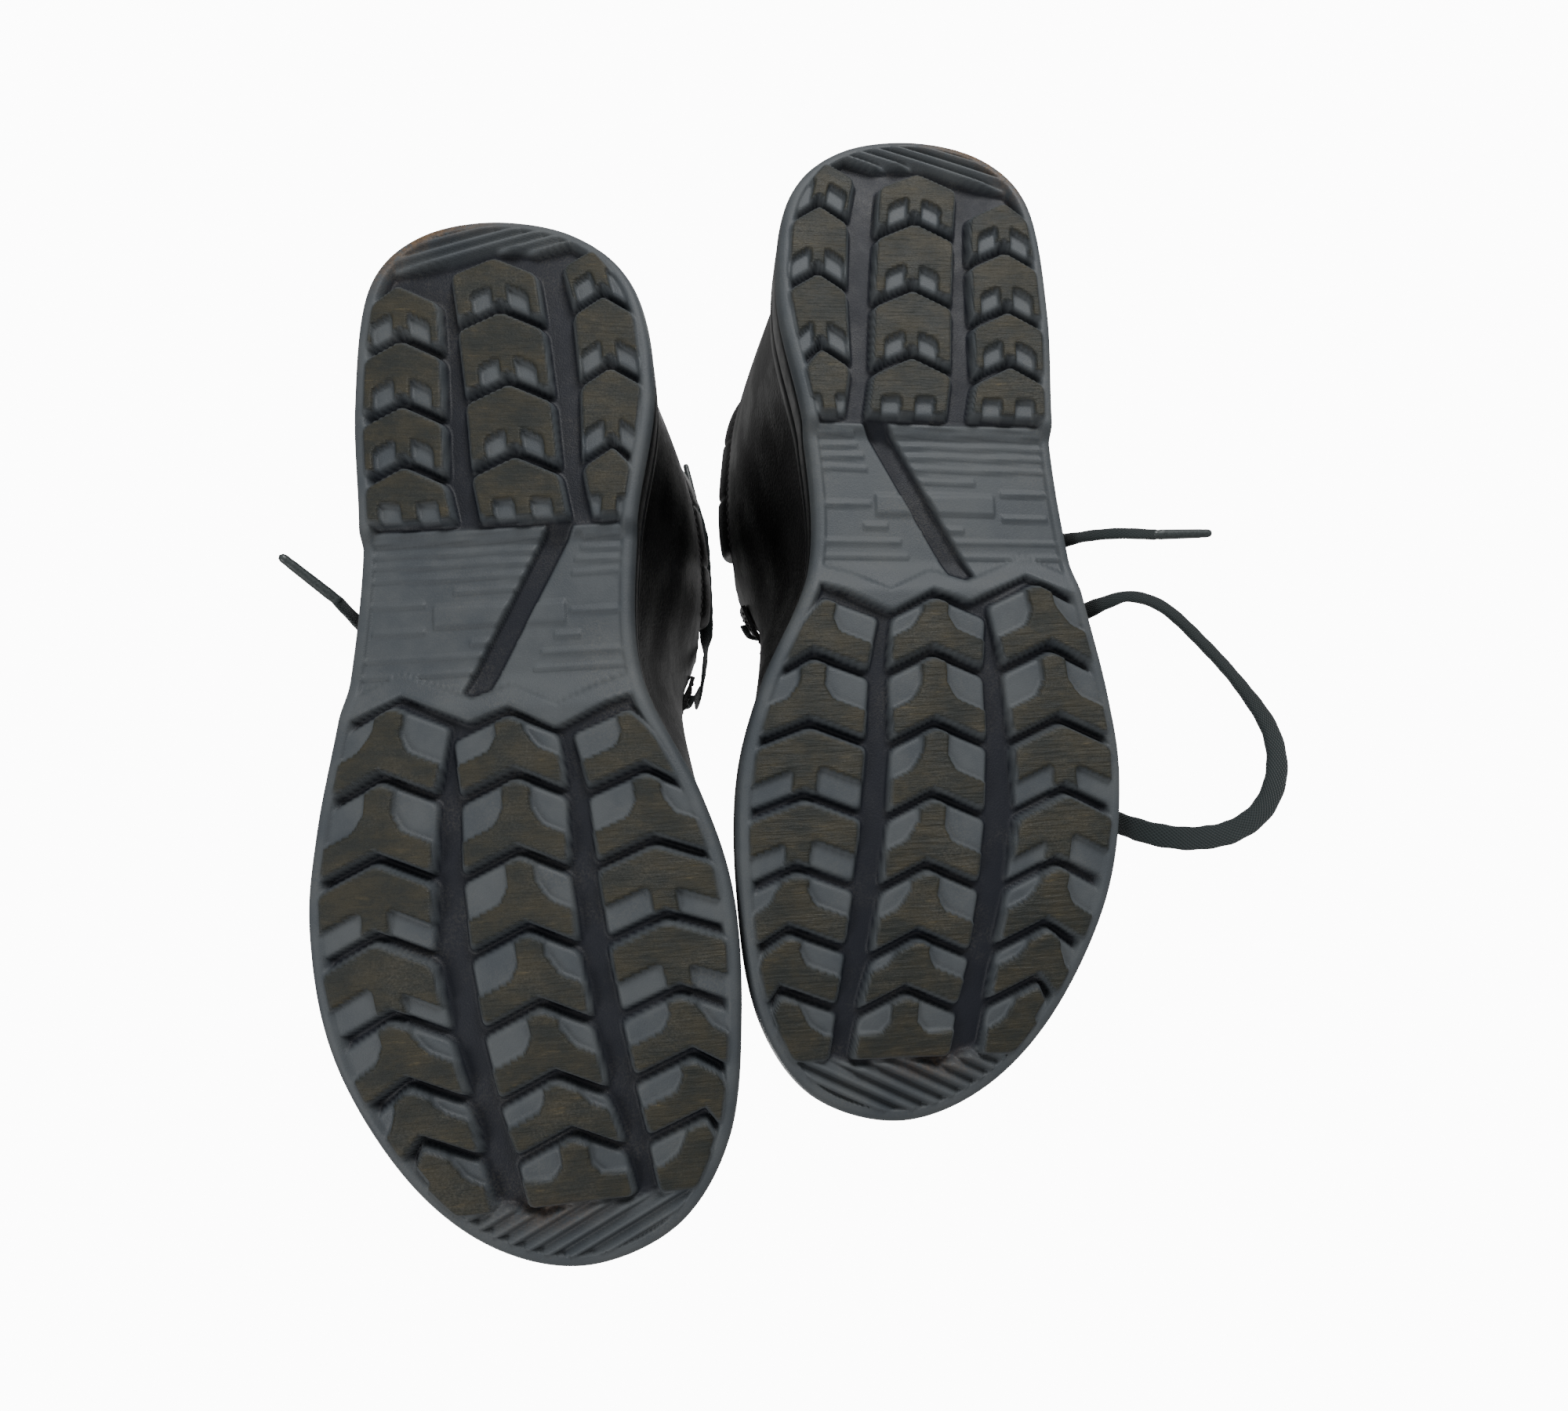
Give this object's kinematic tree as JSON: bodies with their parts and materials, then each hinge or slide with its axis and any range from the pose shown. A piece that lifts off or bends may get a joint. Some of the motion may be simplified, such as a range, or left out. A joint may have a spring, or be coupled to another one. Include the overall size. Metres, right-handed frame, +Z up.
{
  "type": "steel toe work boot",
  "caption": "Pair of ankle-height laced safety boots: lugged rubber sole, leather upper over a steel toe cap, padded collar, tongue, eyelet facings and flat laces with their ends hanging loose.",
  "frame": {"origin": "floor level, under the middle of the pair of boots", "axes": "+Z up, toes towards -Y, +X towards the left boot's outer side"},
  "size_m": [0.2959, 0.3427, 0.182],
  "materials": {
    "tread": "satin blue-grey rubber with worn olive-brown lug faces",
    "midsole": "semi-gloss black rubber edge",
    "leather": "satin full-grain black leather",
    "textile": "black woven lining and padding",
    "steel": "dull pressed steel",
    "eyelet": "dark glossy painted metal",
    "board": "woven aramid sheet and fibre board",
    "lace": "flat woven polyester",
    "aglet": "clear film over the lace's end"
  },
  "bodies": {
    "left_boot": {"left_outsole": "tread", "left_midsole": "midsole", "left_puncture_plate": "board", "left_insole_board": "board", "left_vamp": "leather", "left_quarter_lateral": "leather", "left_quarter_medial": "leather", "left_heel_counter": "leather", "left_backstay": "leather", "left_collar": "textile", "left_heel_lining": "textile", "left_front_lining_lateral": "textile", "left_front_lining_medial": "textile", "left_toe_lining": "textile", "left_steel_toe_cap": "steel", "left_cap_edge_strip": "textile", "left_eyelet_facing_lateral": "eyelet", "left_eyelet_facing_medial": "eyelet", "left_lacing": "lace", "left_pull_loop": "textile", "left_lace_end_lateral": "lace", "left_aglet_lateral": "aglet", "left_lace_end_medial": "lace", "left_aglet_medial": "aglet"},
    "right_boot": {"right_outsole": "tread", "right_midsole": "midsole", "right_puncture_plate": "board", "right_insole_board": "board", "right_vamp": "leather", "right_quarter_lateral": "leather", "right_quarter_medial": "leather", "right_heel_counter": "leather", "right_backstay": "leather", "right_collar": "textile", "right_heel_lining": "textile", "right_front_lining_lateral": "textile", "right_front_lining_medial": "textile", "right_toe_lining": "textile", "right_steel_toe_cap": "steel", "right_cap_edge_strip": "textile", "right_eyelet_facing_lateral": "eyelet", "right_eyelet_facing_medial": "eyelet", "right_lacing": "lace", "right_pull_loop": "textile", "right_lace_bight": "lace", "right_lace_end": "lace", "right_aglet": "aglet"},
    "left_tongue": {"left_tongue": "textile"},
    "right_tongue": {"right_tongue": "textile"},
    "left_footbed": {"left_footbed": "textile"},
    "right_footbed": {"right_footbed": "textile"}
  },
  "joints": [
    {"name": "right_boot_lift", "type": "slide", "parent": "left_boot", "child": "right_boot", "axis": [0, 0, 1], "range_m": [0, 0.25]},
    {"name": "left_tongue_hinge", "type": "hinge", "parent": "left_boot", "child": "left_tongue", "pos_m": [0.05733, -0.05584, 0.073], "axis": [-0.9995, 0.0314, 0], "range_deg": [0, 12]},
    {"name": "right_tongue_hinge", "type": "hinge", "parent": "right_boot", "child": "right_tongue", "pos_m": [-0.05733, -0.02434, 0.073], "axis": [-0.9995, -0.0314, 0], "range_deg": [0, 12]},
    {"name": "left_footbed_lift", "type": "hinge", "parent": "left_boot", "child": "left_footbed", "pos_m": [0.04819, -0.15561, 0.03], "axis": [0.9995, -0.0314, 0], "range_deg": [0, 4]},
    {"name": "right_footbed_lift", "type": "hinge", "parent": "right_boot", "child": "right_footbed", "pos_m": [-0.04819, -0.12411, 0.03], "axis": [0.9995, 0.0314, 0], "range_deg": [0, 4]}
  ]
}
